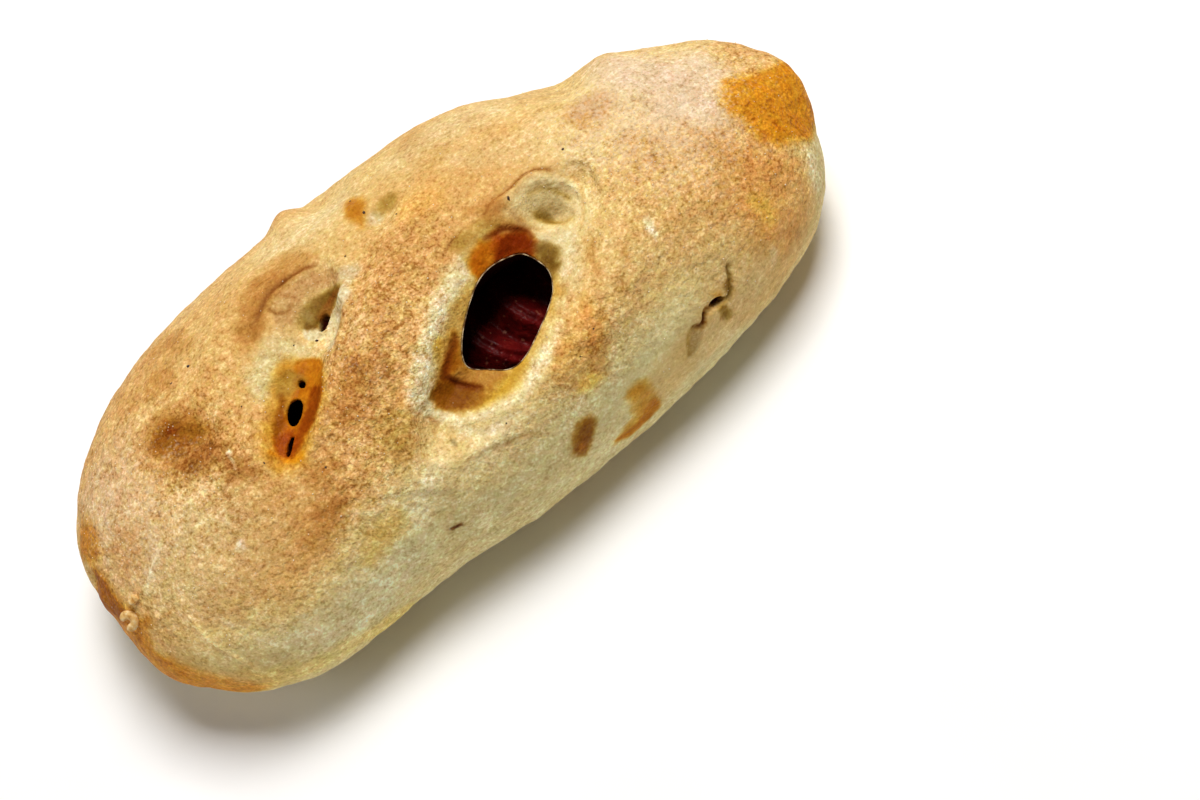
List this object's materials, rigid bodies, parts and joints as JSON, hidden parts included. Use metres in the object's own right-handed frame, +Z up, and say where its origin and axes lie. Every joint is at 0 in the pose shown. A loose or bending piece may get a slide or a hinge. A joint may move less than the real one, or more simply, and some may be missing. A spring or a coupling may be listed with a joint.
{
  "type": "chorizo bun",
  "caption": "Oven-baked slashed bun rolled round a row of chorizo slices, with a torn hole in the main slash that shows the filling.",
  "frame": {"origin": "middle of the bun's outline seen from above, on the surface that its flat base rests on", "axes": "+X along the roll towards its narrower end, +Z up out of the slashed side, -Y towards the paler long side"},
  "size_m": [0.172, 0.0816, 0.0513],
  "materials": {
    "baked_crust": "matte baked crust dusted with flour, browned on the ridges and pale in the slashes",
    "chorizo_meat": "oily dark red cured sausage with pale flecks of fat"
  },
  "bodies": {
    "root": {"bun": "baked_crust", "chorizo": "chorizo_meat"}
  },
  "joints": []
}
